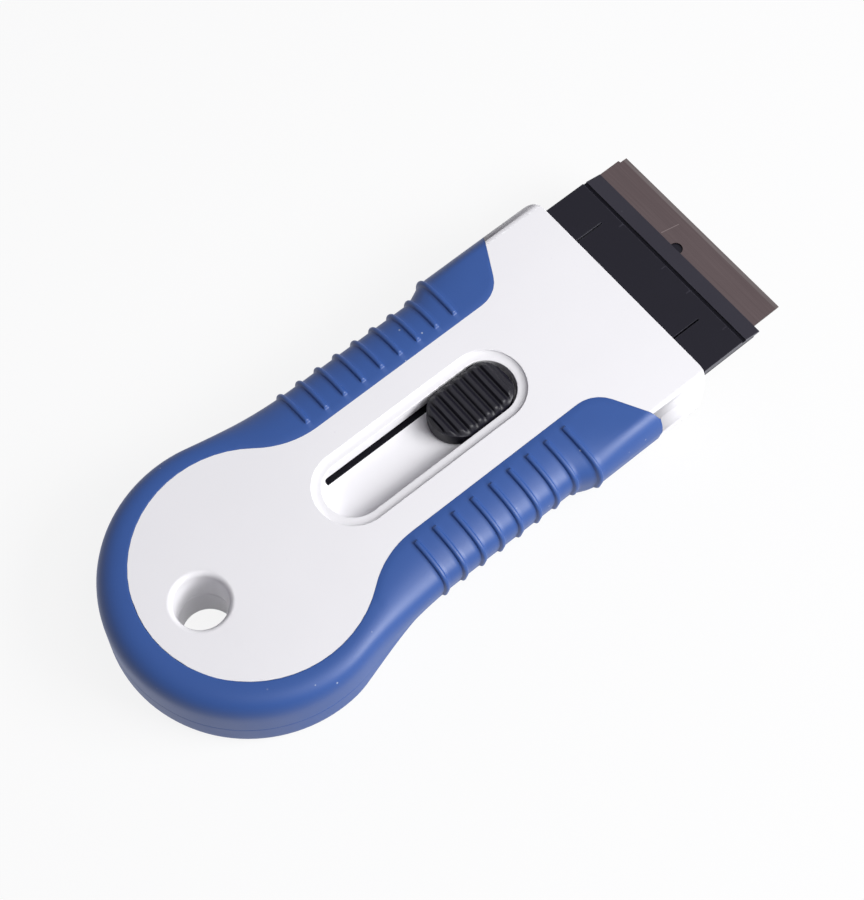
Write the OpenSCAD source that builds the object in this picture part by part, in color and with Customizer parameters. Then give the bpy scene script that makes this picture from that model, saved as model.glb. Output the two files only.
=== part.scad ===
// Retractable razor blade scraper.
// A two-shell handle with soft grips holds a sliding carriage, and the carriage clamps a flat blade.
// Origin: axis of the hanging hole, on the underside. +X points to the blade, +Z out of the top face.

/* [Handle] */
// Thickness over both shells
body_t = 15.5; // [15:0.5:18]
// Height of the parting plane between the shells
split_z = 6.9; // [6.6:0.1:7.2]
// Distance from the hanging hole to the centre of the rear round
end_x = 9.5; // [7:0.5:12]
// Radius of the rear round
end_r = 25; // [23:0.2:28]
// How much narrower each side is at the waist
waist_in = 2.9; // [2:0.1:3.2]
// Radius of the hollow that leads from the rear round to the waist
waist_r = 100; // [80:5:140]
// Width of the rounded upper edge
edge_w = 3; // [2.6:0.1:3.4]
// Height of the rounded upper edge
edge_h = 5; // [4.4:0.1:6]
// How far the flank leans in down to the parting plane on the arms and the nose
flank_in = 0.6; // [0.2:0.1:0.9]
// Width of the lower edge's rounding on the arms and the nose
base_w = 6; // [5:0.1:6.4]
// Height of the lower edge's rounding on the arms and the nose
base_h = 6.8; // [6:0.1:6.8]
// How far the lower half is drawn in on the arms and the nose
base_in = 1.2; // [1:0.1:1.4]
// Radius of the lower edge round the rear end
base_end_r = 2.8; // [2.4:0.1:4.4]
// Radius of the two front corners, seen from above
corner_r = 4; // [1.5:0.1:4]
// Rise of the underside from the rest face to the mouth
nose_rise = 4; // [1:0.5:4]
// Wall of the shells
wall = 1.8; // [1.4:0.1:2.2]
// Wall between the mouth and the top face
top_wall = 2.5; // [2.3:0.1:3]

/* [Hanging hole] */
// Radius of the hanging hole
hole_r = 4.6; // [4:0.1:5.5]
// Rounding of the hole's upper rim
hole_rim = 1; // [0.4:0.1:1.2]

/* [Soft grips] */
// Thickness of the grips on the flank
grip_t = 3.6; // [3.4:0.1:3.8]
// Thickness of the grips on the nose
nose_skin = 1.8; // [1.7:0.1:2.2]
// Depth of the grips in the top face and in the underside
grip_skin = 1.4; // [1:0.1:1.4]
// Distance from the centre of the rear round to the centre of the bare disc
panel_lead = 1.2; // [0:0.1:1.6]
// Width of the grip's band round the bare disc
rim_w = 4.6; // [4.2:0.1:6]
// Width of the bare strip between the grips
panel_w = 24.6; // [24.4:0.2:26]
// Radius of the curve from the disc into the strip
panel_blend_r = 16.8; // [12:0.4:24]
// Radius of the curve at the grips' front ends
grip_tip_r = 6; // [4:0.5:8]
// Slant of the grips' front ends from the long axis, in degrees
grip_tip_angle = 61; // [50:1:70]
// Bare length of the nose in front of the grips
nose_bare = 11.4; // [9:0.2:13]
// Number of ribs on each grip
rib_count = 9; // [5:1:9]
// Distance from rib to rib
rib_pitch = 4.02; // [3.4:0.1:4.2]
// Width of a rib
rib_w = 0.85; // [0.6:0.05:1.2]
// Height of a rib
rib_h = 0.55; // [0.3:0.05:0.6]

/* [Thumb slide] */
// Distance from the hanging hole to the rear end of the slot
slot_x0 = 26.4; // [25:0.2:30]
// Width of the slot
slot_w = 10.6; // [10:0.2:11.4]
// Width of the dish round the slot
slot_dish = 1.75; // [1:0.05:2]
// Depth of the dish round the slot
slot_dish_d = 0.6; // [0.3:0.1:0.9]
// Length of the thumb button
button_l = 16.2; // [14:0.2:18]
// Height of the button above the top face
button_proud = 0.3; // [0:0.1:0.8]
// Number of ridges on the button
ridge_count = 8; // [5:1:9]
// Thickness of the floor in the slot
floor_t = 1.6; // [1.4:0.1:2]

/* [Blade and holder] */
// Length of the cutting edge
blade_w = 40; // [36:0.5:44]
// Depth of the blade from edge to edge
blade_l = 20; // [19:0.5:20.5]
// Thickness of the blade
blade_t = 0.3; // [0.2:0.05:0.4]
// Width of the ground edge
blade_grind = 0.8; // [0.5:0.1:1.5]
// Radius of the two holes in the blade
blade_hole_r = 1.2; // [1.1:0.05:1.5]
// Distance from the cutting edge to the nearer hole
blade_hole_in = 5.9; // [5:0.1:7]
// How far the blade lies off the holder's middle
blade_shift = 0.78; // [0:0.02:0.78]
// Reach of the cutting edge in front of the mouth
blade_reach = 20.2; // [18:0.2:22]
// How far the cutting edge draws back behind the mouth
blade_tuck = 1.8; // [0.5:0.1:3]
// Bare depth of the blade in front of the cover
blade_bare = 6.1; // [5:0.1:7]
// Edge of the holder beside the blade
holder_edge = 0.7; // [0.5:0.1:1]
// Thickness of the cover over the blade
cover_t = 1.35; // [1.35:0.05:1.6]
// Thickness of the carriage's tongue
tongue_t = 2.4; // [2.1:0.1:2.6]
// Width of the carriage's tongue
tongue_w = 12.4; // [12:0.1:12.4]

/* [Screws] */
// Radius of a screw's shank
screw_r = 1.1; // [0.9:0.05:1.3]
// Radius of a screw's head
screw_head_r = 2; // [1.8:0.1:2.1]
// Height of a screw's head
screw_head_h = 1.2; // [0.9:0.1:1.4]

/* [Hidden] */
$fn = 64;

// Clearances and the overrun that every cut shares
overrun = 1;
bond_gap = 0.08;
seat_gap = 0.05;
slide_gap = 0.1;
side_gap = 0.25;
roof_gap = 0.3;
mouth_gap = 0.4;

// Heights, from the top face down to the ledges that carry the carriage
ceiling_z = body_t - top_wall;
cover_z1 = ceiling_z - roof_gap;
cover_z0 = cover_z1 - cover_t;
blade_z1 = cover_z0 - seat_gap;
blade_z0 = blade_z1 - blade_t;
seat_t = 3.3;
carriage_z0 = blade_z0 - seat_t;
tongue_z1 = carriage_z0 + tongue_t;
floor_z0 = tongue_z1 + roof_gap;
floor_z1 = floor_z0 + floor_t;
ledge_z = carriage_z0 - slide_gap;
base_floor_t = 2;

// Lengths along the handle, from the slot forward to the cutting edge
travel = blade_reach + blade_tuck;
slot_front_gap = 0.7;
slot_rear_gap = 0.5;
recess_wall = 1.1;
mouth_cover = 1.8;
slot_x1 = slot_x0 + button_l + travel + slot_front_gap + slot_rear_gap;
holder_x0 = slot_x1 + recess_wall + roof_gap + travel;
nose_x = holder_x0 + mouth_cover;
blade_x1 = nose_x + blade_reach;
blade_x0 = blade_x1 - blade_l;
cover_x1 = blade_x1 - blade_bare;
button_x1 = slot_x1 - slot_front_gap;
button_x0 = button_x1 - button_l;

// Half widths, from the blade out to the flank of the nose
holder_y = blade_w / 2 + holder_edge;
mouth_y = holder_y + mouth_gap;
nose_wall = 1;
nose_y = mouth_y + nose_wall + nose_skin;
waist_y = end_r - waist_in;
slot_y = slot_w / 2;
panel_y = panel_w / 2;

// The outline's hollow touches the rear round here
waist_x = end_x + sqrt((end_r - waist_y) * (end_r + waist_y + 2 * waist_r));
waist_angle = atan2(waist_y + waist_r, waist_x - end_x);
hollow_x = end_x + end_r * cos(waist_angle);

// The ribs start beside the button's front end, where the flank steps out to the nose
rib_lead = 0.3;
rib_front_x = button_x1 + rib_lead;
flare_l = 5.5;
flare_x1 = rib_front_x + rib_w;
flare_x0 = flare_x1 - flare_l;
rib_inset = 1.5;
rib_inner_y = panel_y + rib_inset;
rib_slope = 0.2;
rib_rise = 0.4;

// The underside rises from here to the mouth
nose_rise_l = 38;
nose_rise_x = nose_x - nose_rise_l;
function base_z(x) = max(0, nose_rise * (x - nose_rise_x) / nose_rise_l);

// Border of the bare face: disc, blend, strip, tip curve and slanted tip
panel_x = end_x + panel_lead;
panel_r = end_r - rim_w;
blend_x = panel_x + sqrt((panel_r - panel_y) * (panel_r + panel_y + 2 * panel_blend_r));
blend_angle = atan2(panel_y + panel_blend_r, blend_x - panel_x);
disc_end_x = panel_x + panel_r * cos(blend_angle);
grip_end_x = nose_x - nose_bare;
tip_land = 0.5;
tip_step = 0.1;
tip_skin = 0.3;
tip_end_l = 0.2;
tip_x1 = grip_end_x - tip_end_l;
tip_y1 = nose_y - flank_in - tip_land;
base_tip_y = nose_y - base_in - tip_land;
tip_y0 = panel_y + grip_tip_r * (1 - cos(grip_tip_angle));
tip_x0 = tip_x1 - (tip_y1 - tip_y0) / tan(grip_tip_angle);
base_tip_x = tip_x0 + (base_tip_y - tip_y0) / tan(grip_tip_angle);
strip_x1 = tip_x0 - grip_tip_r * sin(grip_tip_angle);

// Steps along curves
arc_steps = 5;
turn_step = 6;
round_steps = 20;
blend_steps = 8;
tip_steps = 6;

// Points along an arc round c, from angle a0 to a1 in n steps
function arc(c, r, a0, a1, n) =
    [for (i = [0:n]) let (a = a0 + (a1 - a0) * i / n) [c[0] + r * cos(a), c[1] + r * sin(a)]];
// A half outline that starts on the long axis, closed by its mirror image
function closed(half) =
    concat(half, [for (i = [len(half) - 1:-1:1]) [half[i][0], -half[i][1]]]);
function smooth(t) = let (u = min(1, max(0, t))) u * u * (3 - 2 * u);

// Half width of the outer flank at a station in front of the disc's centre
function flank(x) =
    x < hollow_x ? sqrt(pow(end_r, 2) - pow(x - end_x, 2)) :
    x < waist_x ? waist_y + waist_r - sqrt(pow(waist_r, 2) - pow(waist_x - x, 2)) :
    waist_y + (nose_y - waist_y) * flared(x);
// Half width of the bare face at a station in front of the disc's centre
function border(x) =
    x < disc_end_x ? sqrt(pow(panel_r, 2) - pow(x - panel_x, 2)) :
    x < blend_x ? panel_y + panel_blend_r - sqrt(pow(panel_blend_r, 2) - pow(blend_x - x, 2)) :
    x < strip_x1 ? panel_y :
    x < tip_x0 ? panel_y + grip_tip_r - sqrt(pow(grip_tip_r, 2) - pow(x - strip_x1, 2)) :
    min(tip_y1, tip_y0 + (x - tip_x0) * tan(grip_tip_angle));

// How far a station lies along the flare, and the grips' thickness there
function flared(x) = smooth((x - flare_x0) / flare_l);
function grip_at(x) = grip_t + (nose_skin - grip_t) * flared(x);
// Outline of the handle, drawn in by one depth behind the nose and another in the nose
function plan(inset, nose_inset, front_x) = closed(concat(
    arc([end_x, 0], end_r - inset, 180, waist_angle, round_steps),
    arc([waist_x, waist_y + waist_r], waist_r + inset, 180 + waist_angle, 270, blend_steps),
    [[flare_x1, waist_y - inset], [flare_x1, nose_y - nose_inset], [front_x, nose_y - nose_inset]]));
// Outline of the bare face with the nose, whose slanted tips end at a half width
function bare_face(tip_y) = closed(concat(
    arc([panel_x, 0], panel_r, 180, blend_angle, round_steps),
    arc([blend_x, panel_y + panel_blend_r], panel_blend_r, 180 + blend_angle, 270, blend_steps),
    arc([strip_x1, panel_y + grip_tip_r], grip_tip_r, 270, 270 + grip_tip_angle, arc_steps),
    [[tip_x0 + (tip_y - tip_y0) / tan(grip_tip_angle), tip_y], [grip_end_x, tip_y], [grip_end_x, nose_y]],
    arc([nose_x - corner_r, nose_y - corner_r], corner_r, 90, 0, arc_steps)));

// A plate with the given outline between two heights
module plate(points, z0, z1) {
    translate([0, 0, z0]) linear_extrude(z1 - z0) polygon(points);
}
// A block between two corners
module block(low, high) {
    translate(low) cube(high - low);
}
// A prism along X whose section lies in Y and Z
module along_x(x0, x1) {
    translate([x0, 0, 0]) rotate([90, 0, 90]) linear_extrude(x1 - x0) children();
}
// A prism across the handle whose section lies in X and Z
module along_y(y0, y1) {
    translate([0, y1, 0]) rotate([90, 0, 0]) linear_extrude(y1 - y0) children();
}
// A bar with round ends along X
module stadium(x0, x1, r, z0, z1) {
    translate([0, 0, z0]) linear_extrude(z1 - z0) {
        translate([x0 + r, 0]) circle(r);
        translate([x1 - r, 0]) circle(r);
        translate([x0 + r, -r]) square([x1 - x0 - 2 * r, 2 * r]);
    }
}

// Everything under the underside, lifted by a depth
module under(lift) {
    far = nose_x + end_r;
    along_y(-end_r - overrun, end_r + overrun)
        polygon([[-end_r, -end_r], [-end_r, lift], [nose_rise_x, lift],
                 [far, lift + nose_rise * (far - nose_rise_x) / nose_rise_l], [far, -end_r]]);
}

// Three screws hold the shells together: one behind the slot and two at the sides of the disc
rail_t = 1;
rail_y = tongue_w / 2 + side_gap;
ledge_w = 2.5;
post_r = 2.4;
post_x = (hole_r + wall + slot_x0 - slot_dish) / 2;
side_post_x = disc_end_x;
side_post_y = panel_r * sin(blend_angle) - 2 * post_r;
screw_places = [[post_x, 0], [side_post_x, side_post_y], [side_post_x, -side_post_y]];
screw_l = 8;
screw_seat_z = base_floor_t;
pilot_z = screw_seat_z + screw_l + overrun;

module at_screws() {
    for (p = screw_places) translate(p) children();
}

// Click stops in the slot's floor, one for each end of the travel
stop_r = 0.9;
stop_x = (button_x0 + button_x1) / 2;
slit_w = 1.2;
slit_flare = 0.7;
slit_y0 = slot_y - slit_w;
slit_rear_gap = 3;
slit_front_gap = 2;
slit_x0 = slot_x0 + slit_rear_gap;
slit_x1 = slot_x1 - slit_front_gap;

// Half section of the nose over its upper edge, closed by its mirror image
nose_edge = [for (i = [0:round_steps]) let (a = 90 * (1 - i / round_steps))
    [nose_y - edge_w + edge_w * cos(a), body_t - edge_h + edge_h * sin(a)]];
nose_section = concat(nose_edge, [[nose_y - flank_in, split_z], [flank_in - nose_y, split_z]],
    [for (i = [round_steps:-1:0]) [-nose_edge[i][0], nose_edge[i][1]]]);
module upper_outside() {
    plate(plan(grip_t, nose_skin, grip_end_x), split_z, body_t - grip_skin);
    intersection() {
        plate(bare_face(tip_y1), split_z, body_t);
        union() {
            block([-end_r, -end_r, 0], [strip_x1, end_r, body_t + overrun]);
            along_x(strip_x1, nose_x) polygon(nose_section);
        }
    }
}

// Half section of the dish round the slot: steep at its outer edge and level at the slot
dish = concat([[0, body_t + overrun], [0, body_t - slot_dish_d]],
    [for (i = [arc_steps:-1:0]) let (a = 90 * i / arc_steps)
        [slot_y + slot_dish * cos(a), body_t - slot_dish_d * sin(a)]],
    [[slot_y + slot_dish, body_t + overrun]]);
module slot_cut() {
    stadium(slot_x0, slot_x1, slot_y, floor_z1, body_t + overrun);
    for (x = [slot_x0 + slot_y, slot_x1 - slot_y]) translate([x, 0, 0]) rotate_extrude() polygon(dish);
    along_x(slot_x0 + slot_y, slot_x1 - slot_y)
        for (s = [0, 1]) mirror([s, 0]) polygon(dish);
    for (s = [0, 1]) mirror([0, s, 0]) along_x(slit_x0, slit_x1) polygon([
        [slit_y0, floor_z0 - overrun], [slot_y + slit_flare, floor_z0 - overrun],
        [slot_y + slit_flare, floor_z0], [slot_y, floor_z1],
        [slot_y, floor_z1 + overrun], [slit_y0, floor_z1 + overrun]]);
    for (x = [stop_x, stop_x - travel])
        translate([x, 0, floor_z0]) rotate([90, 0, 0])
            cylinder(h = 2 * slit_y0 - slit_w, r = stop_r, center = true);
}

module hole_cut() {
    translate([0, 0, -overrun]) cylinder(h = body_t + 2 * overrun, r = hole_r);
    translate([0, 0, body_t - hole_rim]) rotate_extrude() difference() {
        square([hole_r + hole_rim, hole_rim + overrun]);
        translate([hole_r + hole_rim, 0]) circle(hole_rim);
    }
}

post_h = ceiling_z + overrun - split_z;
module upper_shell() color("white") difference() {
    union() {
        difference() {
            upper_outside();
            plate(plan(grip_t + wall, nose_skin + nose_wall, nose_x + overrun),
                  split_z - overrun, ceiling_z);
        }
        stadium(slot_x0 - recess_wall, slot_x1 + recess_wall, slot_y + recess_wall,
                floor_z0, ceiling_z + overrun);
        translate([0, 0, split_z]) cylinder(h = post_h, r = hole_r + wall);
        at_screws() translate([0, 0, split_z]) cylinder(h = post_h, r = post_r);
    }
    slot_cut();
    hole_cut();
    at_screws() translate([0, 0, split_z - overrun])
        cylinder(h = pilot_z - split_z + overrun, r = screw_r + seat_gap);
}

// Half section of the nose under its lower edge, closed by its mirror image
base_y = nose_y - base_in;
base_edge = [for (i = [0:round_steps]) let (a = 90 * i / round_steps)
    [base_y - base_w + base_w * cos(a), base_h - base_h * sin(a)]];
base_section = concat([[-base_y, split_z], [base_y, split_z]], base_edge,
    [for (i = [round_steps:-1:0]) [-base_edge[i][0], base_edge[i][1]]]);
module lower_outside() {
    difference() {
        plate(plan(grip_t + base_in, nose_skin + base_in, grip_end_x), 0, split_z);
        under(grip_skin);
    }
    difference() {
        intersection() {
            plate(bare_face(base_tip_y), 0, split_z);
            union() {
                block([-end_r, -end_r, -overrun], [strip_x1, end_r, split_z + overrun]);
                along_x(strip_x1, nose_x) polygon(base_section);
            }
        }
        under(0);
    }
}

// Ledges under the carriage, guides beside its tongue and the sill of the mouth
module rails() {
    for (s = [-1, 1]) {
        ledge = [s * (rail_y - ledge_w), s * (rail_y + rail_t)];
        guide = [s * rail_y, s * (rail_y + rail_t)];
        block([slot_x0, min(ledge), base_floor_t / 2], [nose_x, max(ledge), ledge_z]);
        block([slot_x0, min(guide), base_floor_t / 2], [slot_x1, max(guide), tongue_z1]);
    }
    block([nose_x - wall, -mouth_y + side_gap, base_floor_t / 2], [nose_x, mouth_y - side_gap, ledge_z]);
}

module lower_shell() color("white") difference() {
    union() {
        difference() {
            lower_outside();
            difference() {
                plate(plan(grip_t + base_in + wall, nose_skin + base_in + wall, nose_x - wall),
                      -overrun, split_z + overrun);
                under(base_floor_t);
            }
        }
        difference() {
            rails();
            under(0);
        }
        translate([0, 0, base_floor_t / 2]) cylinder(h = split_z - base_floor_t / 2, r = hole_r + wall);
        at_screws() translate([0, 0, base_floor_t / 2]) cylinder(h = split_z - base_floor_t / 2, r = post_r);
    }
    hole_cut();
    at_screws() {
        translate([0, 0, -overrun]) cylinder(h = split_z + 2 * overrun, r = screw_r + seat_gap);
        translate([0, 0, -overrun]) cylinder(h = screw_seat_z + overrun, r = screw_head_r + seat_gap);
    }
}

// Stations of a grip on the left arm, from the disc's centre to the front end: place and rib height
rib_edges = [[-rib_w / 2 - rib_slope, 0], [-rib_w / 2, rib_h],
             [rib_w / 2, rib_h], [rib_w / 2 + rib_slope, 0]];
rib_back_x = rib_front_x - (rib_count - 1) * rib_pitch;
arm_x1 = rib_back_x - rib_pitch / 2;
arm_stations = concat(
    [for (i = [1:blend_steps]) [panel_x + (arm_x1 - panel_x) * i / blend_steps, 0]],
    [for (i = [0:rib_count - 1]) for (e = rib_edges) [rib_back_x + i * rib_pitch + e[0], e[1]]],
    [[flare_x1 + rib_w, 0]],
    [for (i = [0:arc_steps]) [strip_x1 + (tip_x0 - strip_x1) * i / arc_steps, 0]],
    [for (i = [1:tip_steps]) [tip_x0 + (base_tip_x - tip_x0) * i / tip_steps, 0]],
    [[tip_x1, 0], [grip_end_x - bond_gap, 0]]);

// Width and height of the lower rounding, how far it is drawn in and how far the flank leans in:
// less at the rear end than on the arms
function arm_base(x) = let (on = smooth((x - panel_x) / (blend_x - panel_x)))
    [base_end_r + (base_w - base_end_r) * on, base_end_r + (base_h - base_end_r) * on,
     base_in * on, flank_in * on];
// A station is its foot and direction, the flank's and the border's distances, the rib height,
// the base, the grip's thickness and the lower rounding
function arm_station(s, side) = let (x = s[0])
    [[x, 0], [0, side], flank(x), border(x), s[1], base_z(x), grip_at(x), arm_base(x)];
function turn_station(a) = let (e = panel_x - end_x)
    [[panel_x, 0], [cos(a), sin(a)], sqrt(pow(end_r, 2) - pow(e * sin(a), 2)) - e * cos(a), panel_r,
     0, 0, grip_t, [base_end_r, base_end_r, 0, 0]];
stations = concat(
    [for (i = [len(arm_stations) - 1:-1:0]) arm_station(arm_stations[i], 1)],
    [for (a = [90:turn_step:270]) turn_station(a)],
    [for (s = arm_stations) arm_station(s, -1)]);

// Section of the upper grip as distance and height: over the top, round the edge, down and back inside
edge_shares = [0.1, 0.2, 0.3];
function top_z(d, w) =
    d < w - edge_w ? body_t : body_t - edge_h + edge_h * sqrt(1 - pow((d - w) / edge_w + 1, 2));
function upper_section(w, b, h, t, lean) = let (
        arc_y = w - edge_w,
        d0 = b + bond_gap,
        on_edge = d0 + 2 * rib_rise > arc_y,
        p = on_edge ? [for (s = edge_shares) d0 + (w - d0) * s] :
            let (rib = max(rib_inner_y, d0 + rib_rise)) [rib, rib + rib_rise, arc_y],
        start = p[2] > arc_y ? acos((p[2] - arc_y) / edge_w) : 90,
        inner = max(w - t, b + tip_step) + bond_gap,
        skin_z = min(body_t - grip_skin + bond_gap, top_z(d0, w) - tip_skin))
    concat(
        [[d0, top_z(d0, w)], [p[0], top_z(p[0], w)], [p[1], top_z(p[1], w) + h]],
        [for (i = [0:arc_steps]) let (a = start * (1 - i / arc_steps))
            [arc_y + (edge_w + h) * cos(a), body_t - edge_h + (edge_h + h) * sin(a)]],
        [[w + h - lean, split_z], [inner, split_z], [inner, skin_z], [d0, skin_z]]);

// Section of the lower grip: from the parting plane down round the edge, under the base and back inside
lower_end_share = 0.9;
function lower_section(w, b, z0, t, r) = let (
        arc_y = w - r[2] - r[0],
        b0 = min(b, w - r[2] - tip_land),
        d0 = b0 + bond_gap,
        end = d0 > arc_y ? acos((d0 - arc_y) / r[0]) : 90,
        end_z = d0 > arc_y ? r[1] - r[1] * sin(end) : 0,
        inner = max(w - t - base_in, b0 + tip_step) + bond_gap,
        skin_z = max(z0 + grip_skin - bond_gap, end_z + tip_skin))
    concat(
        [[w - r[2], split_z]],
        [for (i = [0:arc_steps]) let (a = (end < 90 ? end * lower_end_share : end) * i / arc_steps)
            [arc_y + r[0] * cos(a), max(z0, r[1] - r[1] * sin(a))]],
        [[d0, max(z0, end_z)], [d0, skin_z], [inner, skin_z], [inner, split_z]]);

// A closed skin through sections that stand at the stations
module loft(sections) {
    k = len(sections[0]);
    n = len(sections);
    points = [for (i = [0:n - 1]) for (q = sections[i])
        let (s = stations[i]) [s[0][0] + s[1][0] * q[0], s[1][1] * q[0], q[1]]];
    sides = [for (i = [0:n - 2]) for (j = [0:k - 1]) let (a = i * k + j, b = i * k + (j + 1) % k)
        each [[a, b, a + k], [b, b + k, a + k]]];
    first = [for (j = [k - 1:-1:0]) j];
    last = [for (j = [0:k - 1]) (n - 1) * k + j];
    polyhedron(points, concat([first, last], sides));
}

module upper_grip() color([0.2, 0.34, 0.62])
    loft([for (s = stations) upper_section(s[2], s[3], s[4], s[6], s[7][3])]);
module lower_grip() color([0.2, 0.34, 0.62])
    loft([for (s = stations) lower_section(s[2], s[3], s[5], s[6], s[7])]);

// Cross recess in a screw's head
drive_w = 0.7;
drive_d = 0.7;
module screw() {
    difference() {
        union() {
            translate([0, 0, screw_seat_z - screw_head_h]) cylinder(h = screw_head_h, r = screw_head_r);
            translate([0, 0, screw_seat_z - overrun / 2]) cylinder(h = screw_l + overrun / 2, r = screw_r);
        }
        for (turn = [0, 90])
            rotate([0, 0, turn])
                translate([0, 0, screw_seat_z - screw_head_h])
                    cube([2 * screw_r, drive_w, 2 * drive_d], center = true);
    }
}
module shell_screws() color("silver") at_screws() screw();

// Legs of the thumb button go down through the slits into pockets in the carriage's tongue
leg_l = 8;
leg_t = slit_w - slide_gap - side_gap;
leg_y0 = slit_y0 + slide_gap;
leg_x0 = stop_x - leg_l / 2;
leg_foot = 0.4;
leg_z0 = carriage_z0 + leg_foot;
module legs(gap, z0, z1) {
    for (s = [-1, 1]) {
        y = [s * (leg_y0 - gap), s * (leg_y0 + leg_t + gap)];
        block([leg_x0 - gap, min(y), z0], [leg_x0 + leg_l + gap, max(y), z1]);
    }
}

// Profile of the button from the side: a rear slope, saw ridges and a front slope
button_y = slot_y - side_gap;
button_z0 = floor_z1 + roof_gap;
button_z1 = body_t + button_proud;
ridge_d = 0.6;
button_rear_l = 0.6;
button_nose_l = 1.2;
button_rear_share = 0.75;
button_nose_share = 0.5;
button_rear_z = button_z0 + button_rear_share * (button_z1 - button_z0);
button_nose_z = button_z0 + button_nose_share * (button_z1 - button_z0);
ridge_pitch = (button_l - button_rear_l - button_nose_l) / ridge_count;
ridge_shares = [0.1, 0.55, 0.9];
button_side_r = 1.2;
button_side = concat(
    [[button_x0, button_z0], [button_x0, button_rear_z]],
    [for (i = [0:ridge_count - 1]) let (x = button_x0 + button_rear_l + i * ridge_pitch)
        each [[x + ridge_shares[0] * ridge_pitch, button_z1], [x + ridge_shares[1] * ridge_pitch, button_z1],
              [x + ridge_shares[2] * ridge_pitch, button_z1 - ridge_d]]],
    [[button_x1, button_nose_z], [button_x1, button_z0]]);
module thumb_button() color([0.12, 0.12, 0.14]) {
    intersection() {
        stadium(button_x0, button_x1, button_y, button_z0, button_z1 + overrun);
        along_y(-button_y, button_y) polygon(button_side);
        along_x(button_x0, button_x1) {
            translate([-button_y, button_z0]) square([2 * button_y, button_z1 - button_z0 - button_side_r]);
            translate([button_side_r - button_y, button_z0])
                square([2 * (button_y - button_side_r), button_z1 - button_z0]);
            for (s = [-1, 1])
                translate([s * (button_y - button_side_r), button_z1 - button_side_r]) circle(button_side_r);
        }
    }
    legs(0, leg_z0, button_z0 + ridge_d);
}

// Leaf spring on the tongue: a flat root over a stud, and a hump that clicks into the slot's floor
spring_t = 0.35;
spring_y = 2.4;
spring_root = 5;
spring_x0 = button_x0;
spring_tail = 1.4;
spring_x1 = button_x1 - spring_tail;
spring_z = tongue_z1 - spring_t;
hump_share = 0.75;
hump_h = hump_share * stop_r + roof_gap;
hump_half = 0.2;
hump_foot = 1.1;
spring_pocket_d = 1.2;
spring_line = [[spring_x0, 0], [stop_x - hump_foot, 0], [stop_x - hump_half, hump_h],
               [stop_x + hump_half, hump_h], [stop_x + hump_foot, 0], [spring_x1, 0]];
stud_r = 0.9;
stud_x = spring_x0 + spring_root / 2;
module latch_spring() color("silver") difference() {
    along_y(-spring_y, spring_y) polygon(concat(
        [for (p = spring_line) [p[0], spring_z + p[1] + spring_t - slide_gap]],
        [for (i = [len(spring_line) - 1:-1:0]) let (p = spring_line[i])
            [p[0], spring_z + p[1] - slide_gap]]));
    translate([stud_x, 0, spring_z - overrun]) cylinder(h = 2 * overrun, r = stud_r + seat_gap);
}

// The blade lies on the seat; a headed stud on the seat passes its rear hole and holds the cover
blade_holes_x = [blade_x1 - blade_hole_in, blade_x0 + blade_hole_in];
neck_r = 1;
head_r = 1.6;
head_h = 0.45;
neck_h = 0.45;
edge_share = 0.3;
edge_lift = edge_share * blade_t;
module razor_blade() color([0.5, 0.46, 0.46]) difference() {
    translate([0, blade_shift, 0]) along_y(-blade_w / 2, blade_w / 2) polygon([
        [blade_x0 + blade_grind, blade_z0], [blade_x1 - blade_grind, blade_z0],
        [blade_x1, blade_z0 + edge_lift], [blade_x1, blade_z1 - edge_lift],
        [blade_x1 - blade_grind, blade_z1], [blade_x0 + blade_grind, blade_z1],
        [blade_x0, blade_z1 - edge_lift], [blade_x0, blade_z0 + edge_lift]]);
    for (x = blade_holes_x)
        translate([x, blade_shift, blade_z0 - overrun])
            cylinder(h = blade_t + 2 * overrun, r = blade_hole_r);
}

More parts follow.
